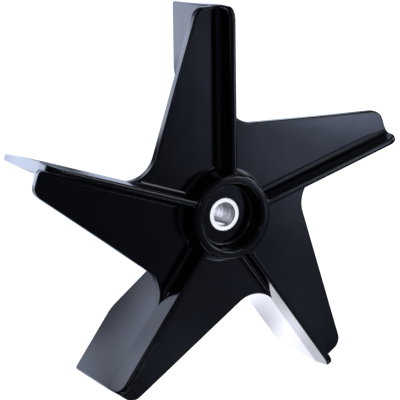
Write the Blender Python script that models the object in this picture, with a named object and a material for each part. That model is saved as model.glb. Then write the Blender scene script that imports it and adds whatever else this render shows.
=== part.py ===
"""Five-bladed star impeller: one moulding around one moulded-in shaft bush.

The row frame: the origin is on the shaft axis at the impeller's centroid, +Z runs
along the axis and out of the cup, and the first blade points along +Y. Every
length below is in millimetres and every level counts from the bush's rear face;
to_object() moves them to the origin and turns them into metres.
"""

import math

import bpy
from mathutils import Matrix

for leftover in list(bpy.data.objects):
    bpy.data.objects.remove(leftover, do_unlink=True)

MM = 0.001
BLADES = 5
STEP_DEG = 360.0 / BLADES
FIRST_DEG = 90.0

# Levels along the axis, from the bush's rear face
CENTROID_Z = 23.9
REAR_EDGE_Z = -35.1
BOSS_REAR_Z = 1.0
PLATE_REAR_Z = 32.0
PARTING_Z = 35.0
PLATE_FRONT_Z = 40.5
CUP_FLOOR_Z = 44.0
RIB_EDGE_Z = 57.9
RIM_Z = 60.0

# One blade: offsets of its two faces from the radial line, at each level
CW_REAR_V = -3.4
CW_PARTING_V = -7.6
CW_FRONT_V = -6.0
CCW_REAR_V = 3.5
CCW_PLATE_V = 4.2
CCW_RIB_V = 0.4
CCW_FRONT_V = -0.8
TIP_REAR_U = 170.4
TIP_PARTING_U = 172.6
TIP_FRONT_U = 172.5
REAR_CUT_U = 110.3
REAR_CUT_SLOPE = 0.563
REAR_CUT_R = 25.0
BLADE_ROOT_U = 20.0
RIB_ROOT_U = 31.0
TIP_FRONT_R = 10.0
TIP_REAR_R = 3.0

# One arm of the star plate, in the frame of its own blade
ARM_TIP_U = 172.2
ARM_EDGE_U = 153.0
ARM_EDGE_V = 26.4
ARM_EDGE_SLOPE = 0.336
ARM_TIP_R = 10.9
ARM_ROOT_R = 25.0
ARM_ROOT_V = -6.9

# Hub, cup and bush
BOSS_REAR_R = 27.0
BOSS_ROOT_R = 29.5
HUB_BASE_R = 38.4
RIM_OUTER_R = 35.2
MOUTH_R = 28.0
CUP_FLOOR_R = 26.6
RIM_ROUND = 3.0
MOUTH_ROUND = 2.2
CUP_FILLET = 2.5
HUB_FILLET = 4.0
BUSH_R = 14.0
BUSH_GAP = 0.15
BUSH_LENGTH = 45.0
BUSH_CHAMFER = 0.6
BORE_R = 10.0
BORE_FLAT = 6.0
BORE_FLAT_DEG = 252.0
LEAD_IN = 3.0
FLAT_CHAMFER = 1.5

HUB_SEGMENTS = 64
BUSH_SEGMENTS = 48
ARC_STEP_DEG = 15.0


def rounded(corners):
    """Turn (x, y, radius) corners into points, with an arc at each radius above zero."""
    points = []
    count = len(corners)
    for index, (x, y, radius) in enumerate(corners):
        if radius <= 0.0:
            points.append((x, y))
            continue
        before = corners[index - 1]
        after = corners[(index + 1) % count]
        ax, ay = before[0] - x, before[1] - y
        bx, by = after[0] - x, after[1] - y
        la, lb = math.hypot(ax, ay), math.hypot(bx, by)
        ax, ay, bx, by = ax / la, ay / la, bx / lb, by / lb
        half = 0.5 * math.acos(max(-1.0, min(1.0, ax * bx + ay * by)))
        run = radius / math.tan(half)
        mx, my = ax + bx, ay + by
        length = math.hypot(mx, my)
        reach = radius / math.sin(half)
        cx, cy = x + mx / length * reach, y + my / length * reach
        start = math.atan2(y + ay * run - cy, x + ax * run - cx)
        end = math.atan2(y + by * run - cy, x + bx * run - cx)
        sweep = (end - start + math.pi) % (2.0 * math.pi) - math.pi
        steps = max(2, round(abs(math.degrees(sweep)) / ARC_STEP_DEG))
        for k in range(steps + 1):
            angle = start + sweep * k / steps
            points.append((cx + radius * math.cos(angle), cy + radius * math.sin(angle)))
    return points


def to_object(name, vertices, faces):
    """Make a mesh object from vertices in millimetres, with its faces turned outward."""
    mesh = bpy.data.meshes.new(name)
    mesh.from_pydata([(x * MM, y * MM, (z - CENTROID_Z) * MM) for x, y, z in vertices], [], faces)
    mesh.validate()
    mesh.update()
    obj = bpy.data.objects.new(name, mesh)
    bpy.context.scene.collection.objects.link(obj)
    return obj


def prism(name, outline, place, low, high):
    """Extrude a closed 2-D outline; place(a, b, c) gives the vertex of a, b at depth c."""
    area = sum(a[0] * b[1] - b[0] * a[1] for a, b in zip(outline, outline[1:] + outline[:1]))
    if area < 0.0:
        outline = outline[::-1]
    count = len(outline)
    vertices = [place(a, b, low) for a, b in outline] + [place(a, b, high) for a, b in outline]
    faces = [tuple(range(count))[::-1], tuple(range(count, 2 * count))]
    for k in range(count):
        nxt = (k + 1) % count
        faces.append((k, nxt, nxt + count, k + count))
    return to_object(name, vertices, faces)


def revolve(name, profile, segments):
    """Turn a closed (r, z) profile around the axis."""
    area = sum(a[0] * b[1] - b[0] * a[1] for a, b in zip(profile, profile[1:] + profile[:1]))
    if area < 0.0:
        profile = profile[::-1]
    count = len(profile)
    vertices = []
    for step in range(segments):
        angle = 2.0 * math.pi * step / segments
        for r, z in profile:
            vertices.append((r * math.cos(angle), r * math.sin(angle), z))
    faces = []
    for step in range(segments):
        this, nxt = step * count, (step + 1) % segments * count
        for k in range(count):
            up = (k + 1) % count
            faces.append((this + k, nxt + k, nxt + up, this + up))
    return to_object(name, vertices, faces)


def combine(target, tool, operation):
    """Apply one exact boolean to target and drop the tool."""
    modifier = target.modifiers.new(operation.lower(), "BOOLEAN")
    modifier.operation = operation
    modifier.solver = "EXACT"
    modifier.object = tool
    graph = bpy.context.evaluated_depsgraph_get()
    result = bpy.data.meshes.new_from_object(target.evaluated_get(graph))
    target.modifiers.clear()
    target.data = result
    bpy.data.objects.remove(tool, do_unlink=True)


def turned(obj, degrees):
    """Return a copy of obj turned about the axis, with the turn in its mesh."""
    copy = obj.copy()
    copy.data = obj.data.copy()
    copy.data.transform(Matrix.Rotation(math.radians(degrees), 4, "Z"))
    bpy.context.scene.collection.objects.link(copy)
    return copy


def make_blade():
    """Blade along +X: a drafted section cut to the blade's side outline."""
    section = [
        (CW_REAR_V, REAR_EDGE_Z),
        (CCW_REAR_V, REAR_EDGE_Z),
        (CCW_PLATE_V, PARTING_Z),
        (CCW_RIB_V, PLATE_FRONT_Z),
        (CCW_FRONT_V, RIB_EDGE_Z),
        (CW_FRONT_V, RIB_EDGE_Z),
        (CW_PARTING_V, PARTING_Z),
    ]
    blade = prism("blade", section, lambda v, z, u: (u, v, z), BLADE_ROOT_U, TIP_PARTING_U + 5.0)
    cut_z = REAR_EDGE_Z + REAR_CUT_SLOPE * (REAR_CUT_U - BLADE_ROOT_U - 1.0)
    side = rounded([
        (RIB_ROOT_U, RIB_EDGE_Z + 5.0, 0.0),
        (TIP_FRONT_U - 40.0, RIB_EDGE_Z + 5.0, 0.0),
        (TIP_FRONT_U - 40.0, RIB_EDGE_Z, 0.0),
        (TIP_FRONT_U, RIB_EDGE_Z, TIP_FRONT_R),
        (TIP_PARTING_U, PARTING_Z, 0.0),
        (TIP_REAR_U, REAR_EDGE_Z, TIP_REAR_R),
        (TIP_REAR_U - 20.0, REAR_EDGE_Z, 0.0),
        (TIP_REAR_U - 20.0, REAR_EDGE_Z - 5.0, 0.0),
        (REAR_CUT_U + 20.0, REAR_EDGE_Z - 5.0, 0.0),
        (REAR_CUT_U + 20.0, REAR_EDGE_Z - 0.4, 0.0),
        (REAR_CUT_U, REAR_EDGE_Z, REAR_CUT_R),
        (BLADE_ROOT_U + 1.0, cut_z, 0.0),
        (BLADE_ROOT_U + 1.0, PLATE_FRONT_Z - 3.0, 0.0),
        (RIB_ROOT_U, PLATE_FRONT_Z - 3.0, 0.0),
    ])
    trim = prism("trim", side, lambda u, z, v: (u, -v, z), -20.0, 20.0)
    combine(blade, trim, "INTERSECT")
    return blade


def in_next(u, v):
    """A point of the next blade's frame, given in this blade's frame."""
    turn = math.radians(STEP_DEG)
    return (u * math.cos(turn) - v * math.sin(turn), u * math.sin(turn) + v * math.cos(turn))


def make_arm():
    """One arm of the star plate, from its own blade to the face of the next one."""
    corner_v = ARM_EDGE_V + ARM_EDGE_SLOPE * (ARM_EDGE_U - ARM_TIP_U)
    # Where the arm's long edge meets the next blade's face
    ox, oy = in_next(0.0, ARM_ROOT_V)
    dx, dy = in_next(1.0, 0.0)
    reach = (ARM_EDGE_V + ARM_EDGE_SLOPE * (ARM_EDGE_U - ox) - oy) / (dy + ARM_EDGE_SLOPE * dx)
    root = (ox + dx * reach, oy + dy * reach)
    far = in_next(reach + ARM_ROOT_R + 8.0, ARM_ROOT_V)
    back = in_next(reach + ARM_ROOT_R + 8.0, ARM_ROOT_V + 4.0)
    inner = in_next(BLADE_ROOT_U, ARM_ROOT_V + 4.0)
    outline = rounded([
        (BLADE_ROOT_U, -3.0, 0.0),
        (ARM_TIP_U, -3.0, 0.0),
        (ARM_TIP_U, corner_v, ARM_TIP_R),
        (root[0], root[1], ARM_ROOT_R),
        (far[0], far[1], 0.0),
        (back[0], back[1], 0.0),
        (inner[0], inner[1], 0.0),
    ])
    return prism("arm", outline, lambda u, v, z: (u, v, z), PLATE_REAR_Z, PLATE_FRONT_Z)


def make_hub():
    """Rear boss, front hub and cup, turned from one profile around the bush hole."""
    hole = BUSH_R + BUSH_GAP
    profile = rounded([
        (hole, BOSS_REAR_Z, 0.0),
        (BOSS_REAR_R, BOSS_REAR_Z, 2.0),
        (BOSS_ROOT_R, PLATE_REAR_Z + 0.4, 0.0),
        (HUB_BASE_R + 6.0, PLATE_REAR_Z + 0.4, 0.0),
        (HUB_BASE_R + 6.0, PLATE_FRONT_Z - 0.05, 0.0),
        (HUB_BASE_R, PLATE_FRONT_Z - 0.05, HUB_FILLET),
        (RIM_OUTER_R, RIM_Z, RIM_ROUND),
        (MOUTH_R, RIM_Z, MOUTH_ROUND),
        (CUP_FLOOR_R, CUP_FLOOR_Z, CUP_FILLET),
        (hole, CUP_FLOOR_Z, 0.0),
    ])
    return revolve("impeller_moulding", profile, HUB_SEGMENTS)


def make_moulding():
    """Unite the hub with five blades and five arms."""
    moulding = make_hub()
    blade = make_blade()
    arm = make_arm()
    for k in range(BLADES):
        combine(moulding, turned(arm, FIRST_DEG + k * STEP_DEG), "UNION")
    for k in range(BLADES):
        combine(moulding, turned(blade, FIRST_DEG + k * STEP_DEG), "UNION")
    bpy.data.objects.remove(blade, do_unlink=True)
    bpy.data.objects.remove(arm, do_unlink=True)
    return moulding


def make_bush():
    """Metal bush with a D-shaped bore and a short round lead-in at each end."""
    body = revolve("shaft_bush", [
        (BORE_R, 0.0),
        (BUSH_R - BUSH_CHAMFER, 0.0),
        (BUSH_R, BUSH_CHAMFER),
        (BUSH_R, BUSH_LENGTH - BUSH_CHAMFER),
        (BUSH_R - BUSH_CHAMFER, BUSH_LENGTH),
        (BORE_R, BUSH_LENGTH),
    ], BUSH_SEGMENTS)
    # The metal that stands across the bore and makes the flat, chamfered at both ends
    outer = BORE_R + 0.4
    half_width = math.sqrt(BORE_R ** 2 - BORE_FLAT ** 2) + 0.6
    low, high = LEAD_IN, BUSH_LENGTH - LEAD_IN
    outline = [
        (outer, low),
        (BORE_FLAT + FLAT_CHAMFER, low),
        (BORE_FLAT, low + FLAT_CHAMFER),
        (BORE_FLAT, high - FLAT_CHAMFER),
        (BORE_FLAT + FLAT_CHAMFER, high),
        (outer, high),
    ]
    flat = prism("flat", outline, lambda x, z, y: (x, -y, z), -half_width, half_width)
    flat.data.transform(Matrix.Rotation(math.radians(BORE_FLAT_DEG), 4, "Z"))
    combine(body, flat, "UNION")
    return body


make_moulding()
make_bush()
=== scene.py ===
"""Five-bladed star impeller of gloss black plastic on its metal shaft bush.

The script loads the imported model, builds the detailed moulding and the detailed bush
over their plain solids, gives each its finish, and sets up the floor, the soft lights
and the camera. Sizes are in millimetres and count their levels from the rear face of
the bush until Solid.settle moves them into the frame of the row.
"""

from __future__ import annotations

import logging
import math
from dataclasses import dataclass
from enum import Enum
from typing import Callable, Sequence

import bmesh
import bpy
from bpy.types import ID, Material, Node, NodeSocket, NodeTree, Object
from mathutils import Matrix, Vector

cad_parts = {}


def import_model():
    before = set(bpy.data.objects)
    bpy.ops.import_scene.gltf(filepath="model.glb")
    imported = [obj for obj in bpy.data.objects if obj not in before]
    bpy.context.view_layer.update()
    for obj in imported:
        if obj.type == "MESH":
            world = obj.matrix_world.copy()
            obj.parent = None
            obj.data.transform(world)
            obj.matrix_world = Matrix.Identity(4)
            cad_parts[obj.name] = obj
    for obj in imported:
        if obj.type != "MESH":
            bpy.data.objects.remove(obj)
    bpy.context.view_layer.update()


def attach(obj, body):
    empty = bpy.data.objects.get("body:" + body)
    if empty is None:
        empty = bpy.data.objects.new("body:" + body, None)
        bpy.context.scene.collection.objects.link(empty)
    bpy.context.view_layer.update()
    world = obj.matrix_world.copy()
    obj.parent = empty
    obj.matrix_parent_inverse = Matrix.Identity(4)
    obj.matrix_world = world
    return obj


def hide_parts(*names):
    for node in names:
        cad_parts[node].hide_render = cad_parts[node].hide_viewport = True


MM = 0.001
CENTROID_LEVEL = 23.9
BLADES = 5
# Degrees from one blade to the next, and the bearing of the first blade
STEP = 360.0 / BLADES
FIRST = 90.0
# In millimetres: nearer points are welded, a face bent by less counts as flat, and an edge
# that rises by less counts as level
WELD = 0.0005
FLAT = 2e-4
LEVEL = 0.01
# Degrees between two faces above which their edge is rounded, and faces across a rounding
SHARP = 35.0
ROUNDING_FACES = 5

log = logging.getLogger("impeller")

Point2 = tuple[float, float]
Span = tuple[float, float]
Triple = tuple[float, float, float]


class Joining(Enum):
    """How one solid is joined with another."""

    UNION = "UNION"
    INTERSECT = "INTERSECT"


class Side(Enum):
    """The two sides of a blade, seen from the front."""

    CLOCKWISE = -1.0
    COUNTER = 1.0


class Facing(Enum):
    """The two sides of the star plate."""

    REAR = -1.0
    FRONT = 1.0


def add_object(name: str, data: ID) -> Object:
    """Add an object with this mesh, light or camera to the scene."""
    obj = bpy.data.objects.new(name, data)
    bpy.context.scene.collection.objects.link(obj)
    return obj


# Outlines


def arc_points(
    centre: Point2, radius: float, start: float, sweep: float, count: int
) -> list[Point2]:
    """Points along an arc.

    Args:
        centre: Middle of the arc.
        radius: Its radius.
        start: Angle of the first point, in radians.
        sweep: Signed angle from the first to the last point, in radians.
        count: Number of steps between them.

    Returns:
        The points, both ends among them.
    """
    return [
        (
            centre[0] + radius * math.cos(start + sweep * k / count),
            centre[1] + radius * math.sin(start + sweep * k / count),
        )
        for k in range(count + 1)
    ]


def rounded(corners: Sequence[Triple], step: float = 6.0) -> list[Point2]:
    """Turn a closed row of corners into points, with an arc at each rounded corner.

    Args:
        corners: The corners as (x, y, radius); a radius of zero keeps the corner.
        step: Largest angle between two points of an arc, in degrees.

    Returns:
        The points of the closed outline.
    """
    points: list[Point2] = []
    for index, (x, y, radius) in enumerate(corners):
        if radius <= 0.0:
            points.append((x, y))
            continue
        before, after = corners[index - 1], corners[(index + 1) % len(corners)]
        here = Vector((x, y))
        back = (Vector(before[:2]) - here).normalized()
        ahead = (Vector(after[:2]) - here).normalized()
        half = 0.5 * back.angle(ahead)
        run = radius / math.tan(half)
        centre = here + (back + ahead).normalized() * (radius / math.sin(half))
        first, last = here + back * run - centre, here + ahead * run - centre
        start = math.atan2(first.y, first.x)
        sweep = (math.atan2(last.y, last.x) - start + math.pi) % (2.0 * math.pi) - math.pi
        count = max(2, math.ceil(abs(math.degrees(sweep)) / step))
        points += arc_points((centre.x, centre.y), radius, start, sweep, count)
    return points


def between(table: Sequence[Sequence[float]], level: float, column: int) -> float:
    """Read a table of rows (level, value, ...) at a level, on straight lines between them.

    Args:
        table: The rows, by rising level.
        level: Where to read.
        column: Which value of a row to read.

    Returns:
        The value, held at the first and last row beyond them.
    """
    if level <= table[0][0]:
        return table[0][column]
    for low, high in zip(table, table[1:]):
        if level <= high[0]:
            part = (level - low[0]) / (high[0] - low[0])
            return low[column] + (high[column] - low[column]) * part
    return table[-1][column]


# Solids


@dataclass
class Solid:
    """One closed mesh in millimetres, worked on step by step."""

    obj: Object

    @classmethod
    def from_faces(
        cls, name: str, points: Sequence[Triple], faces: Sequence[Sequence[int]]
    ) -> Solid:
        """Make a solid from its points and faces.

        Args:
            name: Name of the object.
            points: The vertices.
            faces: The faces, as rows of vertex numbers.

        Returns:
            The solid, with its faces turned outward.
        """
        mesh = bpy.data.meshes.new(name)
        mesh.from_pydata([tuple(p) for p in points], [], [tuple(f) for f in faces])
        work = bmesh.new()
        work.from_mesh(mesh)
        bmesh.ops.recalc_face_normals(work, faces=work.faces)
        work.to_mesh(mesh)
        work.free()
        solid = cls(add_object(name, mesh))
        solid.flatten()
        return solid

    def flatten(self) -> None:
        """Split the faces that aren't flat into triangles, so that joining stays exact."""
        work = bmesh.new()
        work.from_mesh(self.obj.data)
        bent = []
        for face in work.faces:
            if len(face.verts) > 3:
                middle, normal = face.calc_center_median(), face.normal
                if max(abs((vert.co - middle).dot(normal)) for vert in face.verts) > FLAT:
                    bent.append(face)
        bmesh.ops.triangulate(work, faces=bent)
        work.to_mesh(self.obj.data)
        work.free()

    @classmethod
    def skinned(cls, name: str, rings: Sequence[Sequence[Triple]]) -> Solid:
        """Skin a row of closed rings that have the same number of points.

        Args:
            name: Name of the object.
            rings: The rings, from one end to the other.

        Returns:
            The solid, closed at both ends.
        """
        count = len(rings[0])
        points = [point for ring in rings for point in ring]
        faces: list[Sequence[int]] = [tuple(range(count))[::-1]]
        faces.append(tuple(range((len(rings) - 1) * count, len(rings) * count)))
        for row in range(len(rings) - 1):
            low, high = row * count, (row + 1) * count
            for k in range(count):
                nxt = (k + 1) % count
                faces.append((low + k, low + nxt, high + nxt, high + k))
        return cls.from_faces(name, points, faces)

    @classmethod
    def revolved(cls, name: str, profile: Sequence[Point2], segments: int) -> Solid:
        """Turn a closed (radius, level) profile about the axis.

        Args:
            name: Name of the object.
            profile: The closed profile.
            segments: Number of steps in a full turn.

        Returns:
            The turned solid.
        """
        count = len(profile)
        points = []
        faces = []
        for step in range(segments):
            angle = 2.0 * math.pi * step / segments
            points += [(r * math.cos(angle), r * math.sin(angle), z) for r, z in profile]
            this, nxt = step * count, (step + 1) % segments * count
            for k in range(count):
                up = (k + 1) % count
                faces.append((this + k, nxt + k, nxt + up, this + up))
        return cls.from_faces(name, points, faces)

    def join(self, other: Solid, how: Joining) -> None:
        """Join this solid with another, which is used up.

        Args:
            other: The other solid.
            how: Whether they are united or only what they share is kept.
        """
        step = self.obj.modifiers.new(how.name.lower(), "BOOLEAN")
        step.operation = how.value
        step.solver = "EXACT"
        step.object = other.obj
        self.apply()
        bpy.data.objects.remove(other.obj, do_unlink=True)

    def apply(self) -> None:
        """Work the modifiers into the mesh."""
        graph = bpy.context.evaluated_depsgraph_get()
        result = bpy.data.meshes.new_from_object(self.obj.evaluated_get(graph))
        self.obj.modifiers.clear()
        self.obj.data = result

    def turned(self, degrees: float) -> Solid:
        """Turn a copy about the axis.

        Args:
            degrees: How far it is turned.

        Returns:
            The copy.
        """
        copy = self.obj.copy()
        copy.data = self.obj.data.copy()
        copy.data.transform(Matrix.Rotation(math.radians(degrees), 4, "Z"))
        bpy.context.scene.collection.objects.link(copy)
        return Solid(copy)

    def drop(self) -> None:
        """Take the solid out of the scene."""
        bpy.data.objects.remove(self.obj, do_unlink=True)

    def round_edges(self, radius: float, chosen: Callable[[Vector, Vector], bool]) -> None:
        """Round the sharp edges that the test picks.

        Args:
            radius: Radius of the rounding.
            chosen: Test of an edge by its two ends.
        """
        work = bmesh.new()
        work.from_mesh(self.obj.data)
        weight = work.edges.layers.float.new("bevel_weight_edge")
        for edge in work.edges:
            if len(edge.link_faces) == 2 and edge.calc_face_angle() > math.radians(SHARP):
                edge[weight] = 1.0 if chosen(edge.verts[0].co, edge.verts[1].co) else 0.0
        work.to_mesh(self.obj.data)
        work.free()
        step = self.obj.modifiers.new("rounding", "BEVEL")
        step.limit_method = "WEIGHT"
        step.width = radius
        step.segments = ROUNDING_FACES
        step.use_clamp_overlap = False
        self.apply()
        self.flatten()

    def settle(self, name: str, smooth_below: float) -> Object:
        """Move the solid into the frame of the row and shade its roundings.

        Args:
            name: Name of the object.
            smooth_below: Edges under this angle, in degrees, are shaded smooth.

        Returns:
            The finished object, in metres.
        """
        mesh = self.obj.data
        work = bmesh.new()
        work.from_mesh(mesh)
        bmesh.ops.remove_doubles(work, verts=work.verts, dist=WELD)
        bmesh.ops.dissolve_degenerate(work, edges=work.edges, dist=WELD)
        work.to_mesh(mesh)
        work.free()
        lowered = Matrix.Translation((0.0, 0.0, -CENTROID_LEVEL))
        mesh.transform(Matrix.Diagonal((MM, MM, MM, 1.0)) @ lowered)
        mesh.shade_smooth()
        mesh.set_sharp_from_angle(angle=math.radians(smooth_below))
        step = self.obj.modifiers.new("face_weighted_normals", "WEIGHTED_NORMAL")
        step.keep_sharp = True
        self.obj.name = mesh.name = name
        return self.obj


# The moulding


@dataclass
class Blade:
    """One drafted blade: a low rib in front of the star plate and a tall paddle behind it."""

    rear_level: float = -35.1
    # Level, clockwise face, counter-clockwise face, radius of the hub there, depth into the hub
    sections: tuple[tuple[float, ...], ...] = (
        (-35.1, -3.4, 3.5, 27.0, 5.0),
        (1.0, -5.56, 3.86, 27.0, 5.0),
        (35.0, -7.6, 4.2, 29.5, 5.0),
        (38.0, -7.39, 2.4, 36.0, 3.0),
        (40.4, -7.22, 0.4, 38.4, 3.0),
        (57.9, -6.0, -0.8, 35.6, 3.0),
    )
    tip_front: Point2 = (172.5, 57.9)
    tip_parting: Point2 = (172.6, 35.0)
    tip_rear: Point2 = (170.4, -35.1)
    tip_front_radius: float = 10.0
    tip_rear_radius: float = 3.0
    rear_cut: float = 110.3
    rear_cut_slope: float = 0.563
    rear_cut_radius: float = 25.0
    flare: float = 2.6
    flare_steps: int = 7
    hub_sink: float = 0.05
    edge_radius: float = 2.0
    # An edge that reaches this far out of the hub is rounded, unless an end lies this deep in it
    hub_clear: float = 0.01
    hub_deep: float = 0.5
    # The skinned blade runs past its tip, and a trim with this outline cuts it back
    overrun: float = 6.0
    trim_half: float = 20.0
    trim_start: float = 18.0
    trim_clear: float = 5.0
    front_trim_run: float = 40.0
    rear_trim_run: float = 20.0
    rear_trim_depth: float = 0.4

    def face(self, side: Side, level: float) -> float:
        """Return the offset of one face from the radial line at a level."""
        return between(self.sections, level, 1 if side is Side.CLOCKWISE else 2)

    def flare_points(self, side: Side, level: float) -> list[Point2]:
        """Follow the blade's foot from the hub onto one of its faces.

        Args:
            side: Which face.
            level: Level of the section.

        Returns:
            Points from inside the hub, round the flare, to the face.
        """
        hub = between(self.sections, level, 3) - self.hub_sink
        deep = between(self.sections, level, 4)
        across = self.face(side, level) + side.value * self.flare
        along = math.sqrt((hub + self.flare) ** 2 - across ** 2)
        start = math.atan2(-across, -along)
        end = -side.value * 0.5 * math.pi
        sweep = (end - start + math.pi) % (2.0 * math.pi) - math.pi
        arc = arc_points((along, across), self.flare, start, sweep, self.flare_steps)
        inner = (arc[0][0] * (hub - deep) / hub, arc[0][1] * (hub - deep) / hub)
        return [inner, *arc]

    def ring(self, level: float) -> list[Triple]:
        """Draw the closed section of the blade at a level, past its tip.

        Args:
            level: Level of the section.

        Returns:
            The section, as points (out, across, level).
        """
        far = self.tip_parting[0] + self.overrun
        clockwise, counter = (
            self.flare_points(side, level) + [(far, self.face(side, level))] for side in Side
        )
        return [(u, v, level) for u, v in clockwise + counter[::-1]]

    def side_outline(self) -> list[Point2]:
        """Draw the trim seen from the side, which gives the blade its tip and its slanted cut.

        Returns:
            The outline, as points (out, level).
        """
        inner = self.trim_start
        cut = self.rear_level + self.rear_cut_slope * (self.rear_cut - inner)
        front, parting, rear = self.tip_front, self.tip_parting, self.tip_rear
        above, below = front[1] + self.trim_clear, rear[1] - self.trim_clear
        front_run, rear_run = front[0] - self.front_trim_run, rear[0] - self.rear_trim_run
        cut_run = self.rear_cut + self.rear_trim_run
        return rounded([
            (inner, above, 0.0),
            (front_run, above, 0.0),
            (front_run, front[1], 0.0),
            (front[0], front[1], self.tip_front_radius),
            (parting[0], parting[1], 0.0),
            (rear[0], rear[1], self.tip_rear_radius),
            (rear_run, rear[1], 0.0),
            (rear_run, below, 0.0),
            (cut_run, below, 0.0),
            (cut_run, rear[1] - self.rear_trim_depth, 0.0),
            (self.rear_cut, rear[1], self.rear_cut_radius),
            (inner, cut, 0.0),
        ])

    def outside_hub(self, a: Vector, b: Vector) -> bool:
        """Tell whether an edge runs outside the hub, one end at least clear of it."""
        clear = [math.hypot(p.x, p.y) - between(self.sections, p.z, 3) for p in (a, b)]
        return max(clear) > self.hub_clear and min(clear) > -self.hub_deep

    def build(self) -> Solid:
        """Build the blade.

        Returns:
            The blade, along +X.
        """
        blade = Solid.skinned("blade", [self.ring(row[0]) for row in self.sections])
        outline = self.side_outline()
        sides = (-self.trim_half, self.trim_half)
        trim = Solid.skinned("trim", [[(u, v, z) for u, z in outline] for v in sides])
        blade.join(trim, Joining.INTERSECT)
        blade.round_edges(self.edge_radius, self.outside_hub)
        return blade


@dataclass
class Arm:
    """One arm of the star plate, from its own blade to the face of the next one."""

    rear_level: float = 32.0
    front_level: float = 40.5
    tip: float = 172.2
    edge_out: float = 153.0
    edge_across: float = 26.4
    edge_slope: float = 0.336
    tip_radius: float = 10.9
    root_radius: float = 25.0
    root_across: float = -6.9
    edge_radius: float = 1.8
    arc_step: float = 4.0
    # The outline starts inside the hub and its own blade, and ends inside the next blade
    inner_start: float = 20.0
    inner_depth: float = 3.0
    root_run: float = 8.0
    root_depth: float = 4.0

    @staticmethod
    def in_next(u: float, v: float, blades: int = 1) -> Point2:
        """Give a point of the frame that many blades on in this blade's frame."""
        turn = math.radians(blades * STEP)
        return (u * math.cos(turn) - v * math.sin(turn), u * math.sin(turn) + v * math.cos(turn))

    def root_reach(self) -> float:
        """Return how far out along the next blade the arm's long edge would meet it."""
        ox, oy = self.in_next(0.0, self.root_across)
        dx, dy = self.in_next(1.0, 0.0)
        rise = self.edge_across + self.edge_slope * (self.edge_out - ox) - oy
        return rise / (dy + self.edge_slope * dx)

    def outline(self) -> list[Point2]:
        """Draw the arm's outline, part of it inside the hub and the two blades.

        Returns:
            The outline, as points (out, across).
        """
        reach = self.root_reach()
        past = reach + self.root_radius + self.root_run
        deep = self.root_across + self.root_depth
        corner = self.edge_across + self.edge_slope * (self.edge_out - self.tip)
        return rounded([
            (self.inner_start, -self.inner_depth, 0.0),
            (self.tip, -self.inner_depth, 0.0),
            (self.tip, corner, self.tip_radius),
            (*self.in_next(reach, self.root_across), self.root_radius),
            (*self.in_next(past, self.root_across), 0.0),
            (*self.in_next(past, deep), 0.0),
            (*self.in_next(self.inner_start, deep), 0.0),
        ], self.arc_step)

    def width_beside(self, out: float, face: float) -> float:
        """Return how wide this plate stands on the clockwise face of the next blade.

        Args:
            out: Distance along the next blade.
            face: Offset of that face from the blade's radial line.

        Returns:
            The width there, measured across that blade, or zero past the arm.
        """
        points = [self.in_next(u, v, -1) for u, v in self.outline()]
        widest = 0.0
        for (u0, v0), (u1, v1) in zip(points, [*points[1:], points[0]]):
            if min(u0, u1) <= out <= max(u0, u1) and u0 != u1:
                widest = max(widest, face - (v0 + (v1 - v0) * (out - u0) / (u1 - u0)))
        return widest

    def build(self) -> Solid:
        """Build the arm.

        Returns:
            The arm, in the frame of its blade, which lies along +X.
        """
        outline, levels = self.outline(), (self.rear_level, self.front_level)
        arm = Solid.skinned("arm", [[(u, v, z) for u, v in outline] for z in levels])
        arm.round_edges(self.edge_radius, lambda a, b: abs(a.z - b.z) < LEVEL)
        return arm


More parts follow.
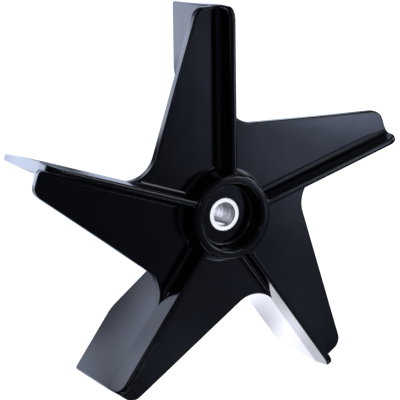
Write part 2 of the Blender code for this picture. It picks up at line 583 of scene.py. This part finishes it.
@dataclass
class FilletStrip:
    """A hollow rounding between one face of a blade and one side of the star plate."""

    blade: Blade
    arm: Arm
    side: Side
    facing: Facing
    radius: float = 4.2
    end_radius: float = 1.2
    end_steps: int = 5
    arc_steps: int = 8
    front_start: float = 33.0
    rear_start: float = 24.0
    end_short: float = 0.03
    # Beside a narrowing plate the fillet gets smaller, and below the least radius it ends
    edge_margin: float = 0.15
    least_radius: float = 0.1
    long_step: float = 3.0
    short_step: float = 0.5
    roomy: float = 1.5
    # The blade's lean is measured from the foot's height over this span
    foot_height: float = 0.5
    lean_span: float = 12.0
    # How far the strip reaches into the blade and the plate
    arc_sink: float = 0.02
    plate_depth: float = 2.6
    blade_depth: float = 1.6

    def stations(self) -> list[tuple[float, float, float]]:
        """Plan the sections along the blade.

        Returns:
            Rows of (out, fillet radius, how far the end is rounded back).
        """
        start = self.front_start if self.facing is Facing.FRONT else self.rear_start
        if self.side is Side.COUNTER:
            end = self.arm.tip - self.end_short
            rows = [(start, self.radius, 0.0)]
            for k in range(self.end_steps + 1):
                angle = math.radians(90.0 * k / self.end_steps)
                back = self.end_radius * (1.0 - math.cos(angle))
                rows.append((end - self.end_radius * (1.0 - math.sin(angle)), self.radius, back))
            return rows
        rows = []
        out = start
        while True:
            width = self.arm.width_beside(out, self.foot())
            free = width - self.arm.edge_radius - self.edge_margin
            if free < self.least_radius:
                return rows
            rows.append((out, min(self.radius, free), 0.0))
            out += self.long_step if free > self.roomy * self.radius else self.short_step

    def foot(self) -> float:
        """Return the offset of the blade's face where it stands on the plate."""
        level = self.plate_level() + self.facing.value * self.foot_height
        return self.blade.face(self.side, level)

    def plate_level(self) -> float:
        """Return the level of the plate's side."""
        return self.arm.front_level if self.facing is Facing.FRONT else self.arm.rear_level

    def section(self, out: float, radius: float, back: float) -> list[Triple]:
        """Return the strip's section as points (out, across, level).

        Args:
            out: Distance of the section along the blade.
            radius: Radius of the hollow.
            back: How far its surface is set back, to round the strip's end.

        Returns:
            The closed section: the hollow arc, then corners inside the blade and the plate.
        """
        way, up, plate, foot = self.side.value, self.facing.value, self.plate_level(), self.foot()
        high = self.blade.face(self.side, plate + up * (self.foot_height + self.lean_span))
        lean = (high - foot) / self.lean_span
        middle = foot + lean * radius + way * radius * math.hypot(1.0, lean)
        first = math.atan2(lean * way, -way)
        sweep = (-0.5 * math.pi - first + math.pi) % (2.0 * math.pi) - math.pi
        wide = radius + back
        # Points are (across, height above the plate) until the last line
        points = arc_points((middle, radius), wide, first, sweep, self.arc_steps)
        points[0] = (points[0][0] - way * self.arc_sink, points[0][1])
        points[-1] = (points[-1][0], points[-1][1] - self.arc_sink)
        inside = foot - way * self.blade_depth
        points += [(middle, -self.plate_depth), (inside, -self.plate_depth), (inside, points[0][1])]
        draft = 0.0
        if self.side is Side.COUNTER:
            tip = self.blade.tip_front if self.facing is Facing.FRONT else self.blade.tip_rear
            parting = self.blade.tip_parting
            draft = (parting[0] - tip[0]) / abs(parting[1] - tip[1])
        return [
            (out - draft * max(height, 0.0), across, plate + up * height)
            for across, height in points
        ]

    def build(self) -> Solid:
        """Build the strip.

        Returns:
            The strip, in the frame of its blade, which lies along +X.
        """
        return Solid.skinned("fillet", [self.section(*row) for row in self.stations()])


@dataclass
class Hub:
    """The round middle: a boss behind the plate, and a cup in front of it."""

    hole_radius: float = 14.15
    boss_level: float = 1.0
    boss_radius: float = 27.0
    boss_root_radius: float = 29.5
    base_radius: float = 38.4
    rim_radius: float = 35.2
    mouth_radius: float = 28.0
    rim_level: float = 60.0
    floor_level: float = 44.0
    floor_radius: float = 26.6
    # Radii of the roundings and fillets of the profile
    hole_break: float = 0.5
    boss_rounding: float = 2.0
    plate_fillet: float = 4.0
    rim_rounding: float = 3.0
    mouth_rounding: float = 2.2
    floor_fillet: float = 2.5
    floor_break: float = 0.4
    # The disc reaches out under the arms, and lies this deep under their surfaces
    disc_reach: float = 6.0
    disc_sink: float = 0.05
    arc_step: float = 9.0
    segments: int = 160

    def build(self, arm: Arm) -> Solid:
        """Turn the hub from one profile.

        Args:
            arm: The plate's arm, which gives the plate's two levels.

        Returns:
            The hub.
        """
        disc = self.base_radius + self.disc_reach
        rear, front = arm.rear_level + self.disc_sink, arm.front_level - self.disc_sink
        profile = rounded([
            (self.hole_radius, self.boss_level, self.hole_break),
            (self.boss_radius, self.boss_level, self.boss_rounding),
            (self.boss_root_radius, rear, self.plate_fillet),
            (disc, rear, 0.0),
            (disc, front, 0.0),
            (self.base_radius, front, self.plate_fillet),
            (self.rim_radius, self.rim_level, self.rim_rounding),
            (self.mouth_radius, self.rim_level, self.mouth_rounding),
            (self.floor_radius, self.floor_level, self.floor_fillet),
            (self.hole_radius, self.floor_level, self.floor_break),
        ], self.arc_step)
        return Solid.revolved("hub", profile, self.segments)


@dataclass
class Moulding:
    """The whole black moulding: hub, five arms and five blades in one piece."""

    blade: Blade
    arm: Arm
    hub: Hub
    smooth_below: float = 38.0

    def build(self) -> Object:
        """Unite the hub with the five sectors.

        Returns:
            The finished moulding.
        """
        sector = self.blade.build()
        sector.join(self.arm.build(), Joining.UNION)
        for side in Side:
            for facing in Facing:
                sector.join(FilletStrip(self.blade, self.arm, side, facing).build(), Joining.UNION)
        whole = self.hub.build(self.arm)
        for k in range(BLADES):
            whole.join(sector.turned(FIRST + k * STEP), Joining.UNION)
        sector.drop()
        return whole.settle("impeller_moulding_dressed", self.smooth_below)


# The bush


@dataclass
class ShaftBush:
    """The metal bush with its D-shaped bore."""

    radius: float = 14.0
    length: float = 45.0
    bore: float = 10.0
    bore_flat: float = 6.0
    flat_turn: float = 252.0
    lead_in: float = 3.0
    flat_chamfer: float = 1.5
    bore_break: float = 0.35
    rim_break: float = 0.6
    # How far the piece with the flat reaches into the wall, outward and sideways
    wall_depth: float = 0.4
    wall_reach: float = 0.6
    arc_step: float = 15.0
    segments: int = 160
    smooth_below: float = 30.0

    def build(self) -> Object:
        """Turn the bush and stand the flat across its bore.

        Returns:
            The finished bush.
        """
        profile = rounded([
            (self.bore, 0.0, self.bore_break),
            (self.radius, 0.0, self.rim_break),
            (self.radius, self.length, self.rim_break),
            (self.bore, self.length, self.bore_break),
        ], self.arc_step)
        body = Solid.revolved("bush", profile, self.segments)
        outer = self.bore + self.wall_depth
        half = math.sqrt(self.bore ** 2 - self.bore_flat ** 2) + self.wall_reach
        low, high = self.lead_in, self.length - self.lead_in
        outline = [
            (outer, low),
            (self.bore_flat + self.flat_chamfer, low),
            (self.bore_flat, low + self.flat_chamfer),
            (self.bore_flat, high - self.flat_chamfer),
            (self.bore_flat + self.flat_chamfer, high),
            (outer, high),
        ]
        flat = Solid.skinned("flat", [[(x, y, z) for x, z in outline] for y in (-half, half)])
        body.join(flat.turned(self.flat_turn), Joining.UNION)
        flat.drop()
        return body.settle("shaft_bush_dressed", self.smooth_below)


# Finishes


@dataclass
class Wire:
    """A number given by a node, with the sums that a finish needs."""

    desk: Desk
    socket: NodeSocket

    def sum_up(self, operation: str, *terms: Number) -> Wire:
        """Add one Math node.

        Args:
            operation: What the node does.
            terms: Its inputs, in their order.

        Returns:
            The node's result.
        """
        node = self.desk.add("ShaderNodeMath", {"operation": operation}, dict(enumerate(terms)))
        return Wire(self.desk, node.outputs[0])

    def __add__(self, other: Number) -> Wire:
        """Return self + other."""
        return self.sum_up("ADD", self, other)

    def __radd__(self, other: Number) -> Wire:
        """Return other + self."""
        return self.sum_up("ADD", other, self)

    def __sub__(self, other: Number) -> Wire:
        """Return self - other."""
        return self.sum_up("SUBTRACT", self, other)

    def __rsub__(self, other: Number) -> Wire:
        """Return other - self."""
        return self.sum_up("SUBTRACT", other, self)

    def __mul__(self, other: Number) -> Wire:
        """Return self * other."""
        return self.sum_up("MULTIPLY", self, other)

    def __rmul__(self, other: Number) -> Wire:
        """Return other * self."""
        return self.sum_up("MULTIPLY", other, self)

    def __truediv__(self, other: Number) -> Wire:
        """Return self / other."""
        return self.sum_up("DIVIDE", self, other)

    def __pow__(self, other: Number) -> Wire:
        """Return self to the power of other."""
        return self.sum_up("POWER", self, other)

    def size(self) -> Wire:
        """Return self without its sign."""
        return self.sum_up("ABSOLUTE", self)

    def step(self, low: float, high: float) -> Wire:
        """Add a smooth rise from 0 to 1.

        Args:
            low: Where it leaves 0.
            high: Where it reaches 1.

        Returns:
            The risen value.
        """
        node = self.desk.add(
            "ShaderNodeMapRange",
            {"interpolation_type": "SMOOTHSTEP"},
            {"Value": self, "From Min": low, "From Max": high},
        )
        return Wire(self.desk, node.outputs["Result"])


Number = Wire | float
Colour = NodeSocket | Triple
# The level about which noise swings
MIDDLE = 0.5
BLACK: Triple = (0.0, 0.0, 0.0)


@dataclass
class Desk:
    """The node tree of one finish."""

    tree: NodeTree

    def add(self, kind: str, settings: dict | None = None, sockets: dict | None = None) -> Node:
        """Add one node.

        Args:
            kind: The node's type.
            settings: Its own settings, such as a Math node's operation.
            sockets: Values or links of its inputs, by name or number.

        Returns:
            The node.
        """
        node = self.tree.nodes.new(kind)
        for name, value in (settings or {}).items():
            setattr(node, name, value)
        self.feed(node, sockets or {})
        return node

    def feed(self, node: Node, sockets: dict) -> None:
        """Set or link inputs of a node.

        Args:
            node: The node.
            sockets: Values or links of its inputs, by name or number.
        """
        for key, value in sockets.items():
            source = value.socket if isinstance(value, Wire) else value
            if isinstance(source, NodeSocket):
                self.tree.links.new(source, node.inputs[key])
            else:
                node.inputs[key].default_value = source

    def split(self, output: str) -> list[Wire]:
        """Split what the Texture Coordinate node gives.

        Args:
            output: Its output, such as Object, the place on the object in metres.

        Returns:
            Its x, y and z.
        """
        whole = self.add("ShaderNodeTexCoord").outputs[output]
        parts = self.add("ShaderNodeSeparateXYZ", None, {"Vector": whole}).outputs
        return [Wire(self, part) for part in parts]

    def vector(self, x: Number, y: Number, z: Number) -> NodeSocket:
        """Return the vector of three numbers."""
        return self.add("ShaderNodeCombineXYZ", None, {0: x, 1: y, 2: z}).outputs[0]

    def noise(self, where: NodeSocket, scale: float, detail: float = 2.0) -> Wire:
        """Return smooth noise about 0.5.

        Args:
            where: The vector that it follows.
            scale: Number of its waves in a metre.
            detail: How many finer layers it has.

        Returns:
            The noise.
        """
        sockets = {"Vector": where, "Scale": scale, "Detail": detail}
        return Wire(self, self.add("ShaderNodeTexNoise", None, sockets).outputs[0])

    def mix_of(self, share: Wire, first: Colour, second: Colour) -> NodeSocket:
        """Mix two colours.

        Args:
            share: Share of the second colour.
            first: The first colour.
            second: The second colour.

        Returns:
            The colour between them.
        """
        pair = [c if isinstance(c, NodeSocket) else (*c, 1.0) for c in (first, second)]
        node = self.add("ShaderNodeMix", {"data_type": "RGBA"}, {0: share, 6: pair[0], 7: pair[1]})
        return node.outputs[2]

    def sum_of(self, first: Colour, second: Colour) -> NodeSocket:
        """Return the sum of two colours."""
        node = self.add("ShaderNodeVectorMath", {"operation": "ADD"}, {0: first, 1: second})
        return node.outputs[0]


def new_finish(name: str) -> tuple[Material, Desk, Node]:
    """Start a new finish.

    Args:
        name: Name of the material.

    Returns:
        The material, its desk and its shader.
    """
    material = bpy.data.materials.new(name)
    material.use_nodes = True
    return material, Desk(material.node_tree), material.node_tree.nodes["Principled BSDF"]


@dataclass(frozen=True)
class GlossPlastic:
    """Black gloss plastic from a polished mould, with faint orange peel."""

    deep: Triple = (0.0010, 0.0011, 0.0016)
    cloudy: Triple = (0.0016, 0.0018, 0.0026)
    roughness: float = 0.13
    ior: float = 1.5
    # Span of the noise over which deep turns into cloudy
    cloud_span: Span = (0.3, 0.7)
    # Waves in a metre, what they add to the roughness, and their height in units of bump
    cloud_waves: float = 38.0
    peel_waves: float = 420.0
    fine_waves: float = 1900.0
    cloud_roughness: float = 0.07
    fine_roughness: float = 0.03
    cloud_height: float = 9.0
    peel_height: float = 0.5
    fine_height: float = 0.12
    bump: float = 1e-5

    def build(self) -> Material:
        """Build the material.

        Returns:
            The material.
        """
        material, desk, shader = new_finish("gloss_black_plastic")
        where = desk.add("ShaderNodeTexCoord").outputs["Object"]
        cloud = desk.noise(where, self.cloud_waves, 3.0)
        peel = desk.noise(where, self.peel_waves)
        fine = desk.noise(where, self.fine_waves, 1.0)
        colour = desk.mix_of(cloud.step(*self.cloud_span), self.deep, self.cloudy)
        uneven = (cloud - MIDDLE) * self.cloud_roughness
        rough = self.roughness + uneven + (fine - MIDDLE) * self.fine_roughness
        height = cloud * self.cloud_height + peel * self.peel_height + fine * self.fine_height
        bump = desk.add("ShaderNodeBump", None, {"Distance": self.bump, "Height": height})
        desk.feed(shader, {
            "Base Color": colour,
            "Roughness": rough,
            "IOR": self.ior,
            "Normal": bump.outputs[0],
        })
        return material


@dataclass(frozen=True)
class TurnedMetal:
    """Bright turned metal: fine rings on the end faces and round the bore."""

    bright: Triple = (0.93, 0.93, 0.94)
    dull: Triple = (0.90, 0.90, 0.91)
    streak: Triple = (0.34, 0.34, 0.35)
    roughness: float = 0.55
    bore_smoother: float = 0.15
    grain_roughness: float = 0.2
    # Spans of the noise over which a ring and a streak change colour, and of the normal's z
    # over which the bore gives way to an end face
    ring_span: Span = (0.25, 0.75)
    streak_span: Span = (0.30, 0.70)
    face_span: Span = (0.6, 0.8)
    # Waves in a metre: across the rings of a face and along the axis, and along the bore
    face_waves: float = 1400.0
    face_drift: float = 20.0
    bore_waves: float = 450.0
    # How far a ring of the bore wanders on its way round
    bore_drift: float = 1.5
    bump: float = 2e-5

    def build(self) -> Material:
        """Build the material.

        Returns:
            The material.
        """
        material, desk, shader = new_finish("turned_metal")
        x, y, z = desk.split("Object")
        radius = (x * x + y * y) ** 0.5
        on_face = desk.vector(radius * self.face_waves, 0.0, z * self.face_drift)
        rings = desk.noise(on_face, 1.0)
        # Points on a circle, so that the rings close round the bore
        around = (x / radius * self.bore_drift, y / radius * self.bore_drift)
        streaks = desk.noise(desk.vector(*around, z * self.bore_waves), 1.0, 3.0)
        along = desk.split("Normal")[2]
        face = along.size().step(*self.face_span)
        turned = desk.mix_of(rings.step(*self.ring_span), self.dull, self.bright)
        reamed = desk.mix_of(streaks.step(*self.streak_span), self.streak, self.dull)
        colour = desk.mix_of(face, reamed, turned)
        grain = face * rings + (1.0 - face) * streaks
        smoother = self.bore_smoother * (1.0 - face)
        rough = self.roughness - smoother + (grain - MIDDLE) * self.grain_roughness
        bump = desk.add("ShaderNodeBump", None, {"Distance": self.bump, "Height": grain})
        desk.feed(shader, {
            "Base Color": colour,
            "Roughness": rough,
            "Metallic": 1.0,
            "Normal": bump.outputs[0],
        })
        return material


class Tint(Enum):
    """Colours of the light."""

    COOL = (0.84, 0.98, 1.40)
    SOFT = (0.88, 0.99, 1.28)
    WHITE = (0.98, 1.00, 1.12)
    PLAIN = (1.00, 1.00, 1.00)

    def at(self, level: float) -> Triple:
        """Return the colour at a level."""
        red, green, blue = self.value
        return (red * level, green * level, blue * level)


@dataclass(frozen=True)
class PaleFloor:
    """Plain pale floor and backdrop, which glow evenly."""

    colour: Triple = (0.85, 0.86, 0.88)
    roughness: float = 0.9
    glow: float = 1.1

    def build(self) -> Material:
        """Build the material.

        Returns:
            The material.
        """
        material, desk, shader = new_finish("pale_floor")
        desk.feed(shader, {
            "Base Color": (*self.colour, 1.0),
            "Roughness": self.roughness,
            "Emission Strength": self.glow,
        })
        return material


@dataclass(frozen=True)
class GlowPool:
    """A round soft patch of painted light on the table, which fades from its inner to its outer
    radius.
    """

    middle: Point2
    inner: float
    outer: float
    level: float
    tint: Tint = Tint.SOFT


@dataclass(frozen=True)
class PaintedLightTable:
    """The glowing table that the impeller's gloss mirrors: patches of painted light on a dim ground
    of painted shade.
    """

    # Painted shade: the dim ground and the weakest pools stand for floor shaded by the impeller;
    # the bright pools are painted pools of light
    ground: float = 0.03
    pools: tuple[GlowPool, ...] = (
        GlowPool((-0.160, 0.020), 0.03, 0.09, 0.60),
        GlowPool((-0.200, 0.090), 0.03, 0.09, 1.40),
        GlowPool((-0.185, 0.060), 0.01, 0.05, 3.40),
        GlowPool((-0.200, -0.050), 0.03, 0.09, 1.20),
        GlowPool((-0.130, -0.050), 0.02, 0.08, 1.05),
        GlowPool((-0.080, -0.020), 0.02, 0.06, 0.55),
        GlowPool((-0.060, -0.090), 0.03, 0.09, 0.27),
        GlowPool((-0.150, -0.110), 0.03, 0.09, 0.28),
        GlowPool((-0.100, -0.170), 0.03, 0.08, 1.00),
        GlowPool((-0.050, 0.035), 0.02, 0.05, 0.80),
        GlowPool((-0.085, 0.105), 0.01, 0.04, 3.20),
        GlowPool((-0.072, 0.155), 0.01, 0.04, 3.40),
        GlowPool((-0.120, 0.230), 0.04, 0.10, 1.20),
        GlowPool((-0.004, 0.150), 0.02, 0.06, 2.80),
        GlowPool((0.140, 0.140), 0.03, 0.09, 0.70),
        GlowPool((0.110, 0.050), 0.04, 0.10, 1.10),
        GlowPool((0.110, -0.040), 0.04, 0.10, 0.20),
        # Painted light under the hub, which only the bore mirrors
        GlowPool((-0.018, 0.008), 0.008, 0.03, 1.60, Tint.WHITE),
        GlowPool((0.030, -0.080), 0.03, 0.08, 2.90, Tint.WHITE),
        GlowPool((0.040, -0.160), 0.02, 0.06, 1.25, Tint.WHITE),
        GlowPool((0.090, -0.120), 0.03, 0.07, 0.30, Tint.WHITE),
        GlowPool((0.100, -0.180), 0.03, 0.08, 2.60, Tint.WHITE),
    )

    def build(self) -> Material:
        """Build the material.

        Returns:
            The material.
        """
        material, desk, shader = new_finish("painted_light_table")
        x, y, _ = desk.split("Object")
        # Start from the painted shade of the ground and add each painted pool of light
        total: Colour = Tint.COOL.at(self.ground)
        for pool in self.pools:
            away_x, away_y = x - pool.middle[0], y - pool.middle[1]
            away = (away_x * away_x + away_y * away_y) ** 0.5
            fade = away.step(pool.inner, pool.outer)
            patch = desk.mix_of(fade, pool.tint.at(pool.level), BLACK)
            total = desk.sum_of(patch, total)
        desk.feed(shader, {
            "Base Color": (*BLACK, 1.0),
            "Specular IOR Level": 0.0,
            "Emission Color": total,
            "Emission Strength": 1.0,
        })
        return material


# The studio


@dataclass(frozen=True)
class SoftLight:
    """A soft light with an oval front that faces the impeller.

    Its bearing and height are angles in degrees, its sizes are in metres, and its glow is the
    brightness of its front.
    """

    name: str
    bearing: float
    height: float
    wide: float
    tall: float
    glow: float
    tint: Tint = Tint.COOL
    distance: float = 1.4

    def hang(self) -> Object:
        """Hang the light.

        Returns:
            The light.
        """
        data = bpy.data.lights.new(self.name, "AREA")
        data.shape = "ELLIPSE"
        data.size, data.size_y = self.wide, self.tall
        data.color = self.tint.value
        # The power of an oval front of area pi/4 * wide * tall is pi * glow * area
        data.energy = self.glow * math.pi ** 2 * 0.25 * self.wide * self.tall
        turn, lift = math.radians(self.bearing), math.radians(self.height)
        flat = math.cos(lift)
        way = Vector((flat * math.cos(turn), flat * math.sin(turn), math.sin(lift)))
        obj = add_object(self.name, data)
        obj.location = way * self.distance
        obj.rotation_euler = way.to_track_quat("Z", "Y").to_euler()
        obj.visible_camera = False
        return obj


@dataclass
class Studio:
    """Floor, lights and camera."""

    floor_level: float = -0.0592
    floor_half: float = 8.0
    table_gap: float = 0.0005
    overhead: float = 0.07
    horizon: float = 0.05
    # Rise of a direction at which the room turns from its horizon's to its overhead level
    low_rise: float = 0.05
    high_rise: float = 0.45
    camera_place: Triple = (-0.84063, 0.36599, 1.51369)
    camera_right: Triple = (0.87555724, -0.01354111, 0.48292458)
    camera_up: Triple = (0.10924271, 0.97926553, -0.170602)
    camera_back: Triple = (-0.47060126, 0.20212781, 0.8588823)
    lens: float = 190.6
    lights: tuple[SoftLight, ...] = (
        SoftLight("soft_back_low", 30.0, 6.0, 0.45, 0.40, 4.5, Tint.WHITE),
        SoftLight("soft_back_middle", 46.0, 24.0, 0.45, 0.60, 0.4, Tint.WHITE),
        SoftLight("soft_back_left", 66.0, 12.0, 0.45, 0.50, 0.4, Tint.SOFT),
        SoftLight("soft_back_right", 22.0, 20.0, 0.35, 0.40, 1.7, Tint.SOFT),
        SoftLight("soft_back_top", 33.0, 45.0, 0.28, 0.32, 5.7, Tint.WHITE),
        SoftLight("soft_back_left_top", 66.0, 43.0, 0.40, 0.30, 1.5, Tint.SOFT),
        SoftLight("soft_back_high", 22.0, 60.0, 0.25, 0.25, 2.2, Tint.WHITE),
        SoftLight("soft_right", -6.0, 53.0, 0.14, 0.26, 3.7),
        SoftLight("soft_right_middle", 4.0, 42.0, 0.25, 0.20, 3.9, Tint.WHITE),
        SoftLight("soft_right_low", 0.0, 6.0, 0.35, 0.30, 0.9),
        SoftLight("soft_front", -58.0, 54.0, 0.16, 0.16, 1.8, Tint.SOFT),
        SoftLight("soft_front_middle", -62.0, 20.0, 0.50, 0.40, 1.1, Tint.SOFT),
        SoftLight("soft_front_low", -72.0, 4.0, 0.60, 0.30, 1.6, Tint.SOFT),
        SoftLight("soft_top_right", -15.4, 52.3, 0.18, 0.14, 0.80),
        SoftLight("soft_top_middle", -19.0, 56.0, 0.10, 0.10, 0.53),
        SoftLight("soft_top_back", -14.0, 61.0, 0.20, 0.14, 0.18),
        SoftLight("soft_top_front", -33.0, 57.0, 0.20, 0.14, 0.13),
        SoftLight("soft_top_tip", -3.0, 61.5, 0.14, 0.10, 0.42),
        SoftLight("soft_top_inner", -13.0, 57.0, 0.12, 0.10, 0.65),
        SoftLight("soft_top_far", -42.0, 57.0, 0.12, 0.12, 0.26),
        SoftLight("soft_top_near", -31.0, 51.0, 0.12, 0.10, 0.20),
        SoftLight("soft_top_low", -26.0, 53.0, 0.18, 0.10, 0.27),
        SoftLight("soft_left", 152.0, 57.0, 0.12, 0.30, 3.0, Tint.SOFT),
        SoftLight("soft_left_front", -110.0, 6.0, 0.90, 0.30, 1.1, Tint.SOFT),
    )
    bush_light: SoftLight = SoftLight("bush_light", -35.0, 62.0, 0.70, 0.50, 5.4, Tint.PLAIN)

    def plane(self, name: str, level: float, material: Material) -> Object:
        """Lay one wide level sheet.

        Args:
            name: Name of the object.
            level: Its height.
            material: Its finish.

        Returns:
            The sheet.
        """
        half = self.floor_half
        corners = [(-half, -half, 0.0), (half, -half, 0.0), (half, half, 0.0), (-half, half, 0.0)]
        mesh = bpy.data.meshes.new(name)
        mesh.from_pydata(corners, [], [(0, 1, 2, 3)])
        mesh.materials.append(material)
        obj = add_object(name, mesh)
        obj.location.z = level
        return obj

    def floor(self) -> None:
        """Lay the pale floor that only the camera sees, and the glowing table of painted light that
        it doesn't.
        """
        pale = PaleFloor().build()
        for sheet in (self.plane("floor", self.floor_level, pale), self.backdrop(pale)):
            sheet.visible_glossy = False
            sheet.visible_diffuse = False
            sheet.visible_shadow = False
        table = self.plane("painted_light_table", self.floor_level - self.table_gap, PaintedLightTable().build())
        table.visible_camera = False
        table.visible_shadow = False

    def backdrop(self, material: Material) -> Object:
        """Stand a round pale wall with a ceiling around the floor.

        Args:
            material: Its finish.

        Returns:
            The wall.
        """
        work = bmesh.new()
        bmesh.ops.create_icosphere(work, subdivisions=3, radius=self.floor_half)
        mesh = bpy.data.meshes.new("backdrop")
        work.to_mesh(mesh)
        work.free()
        mesh.materials.append(material)
        obj = add_object("backdrop", mesh)
        return obj

    def light(self, bush: Object) -> None:
        """Set the dim room, hang the soft lights, and one more for the bush alone.

        Args:
            bush: The metal bush, deep in its cup.
        """
        world = bpy.data.worlds.new("studio")
        world.use_nodes = True
        desk = Desk(world.node_tree)
        rise = desk.split("Generated")[2]
        share = rise.step(self.low_rise, self.high_rise)
        room = desk.mix_of(share, Tint.COOL.at(self.horizon), Tint.COOL.at(self.overhead))
        desk.feed(desk.tree.nodes["Background"], {"Color": room})
        bpy.context.scene.world = world
        bpy.context.scene.view_settings.view_transform = "Standard"
        for light in self.lights:
            light.hang()
        alone = bpy.data.collections.new("bush_alone")
        alone.objects.link(bush)
        self.bush_light.hang().light_linking.receiver_collection = alone

    def camera(self) -> None:
        """Set up the camera of the photograph."""
        data = bpy.data.cameras.new("camera")
        data.sensor_fit = "HORIZONTAL"
        data.sensor_width = 36.0
        data.lens = self.lens
        data.clip_start = 0.05
        data.clip_end = 50.0
        obj = add_object("camera", data)
        rotation = Matrix((self.camera_right, self.camera_up, self.camera_back)).transposed()
        obj.matrix_world = Matrix.Translation(self.camera_place) @ rotation.to_4x4()
        bpy.context.scene.camera = obj


def dress(obj: Object, material: Material, node: str) -> None:
    """Give a piece its finish and put it in the place of its node.

    Args:
        obj: The piece.
        material: Its finish.
        node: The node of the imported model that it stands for.
    """
    obj.data.materials.clear()
    obj.data.materials.append(material)
    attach(obj, "root")
    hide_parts(node)
    log.info("%s: %d faces, stands for %s", obj.name, len(obj.data.polygons), node)


def main() -> None:
    """Build the moulding, the bush and the studio."""
    logging.basicConfig(level=logging.INFO, format="%(message)s")
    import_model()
    moulding = Moulding(Blade(), Arm(), Hub()).build()
    dress(moulding, GlossPlastic().build(), "impeller_moulding")
    bush = ShaftBush().build()
    dress(bush, TurnedMetal().build(), "shaft_bush")
    studio = Studio()
    studio.floor()
    studio.light(bush)
    studio.camera()


if __name__ == "__main__":
    main()
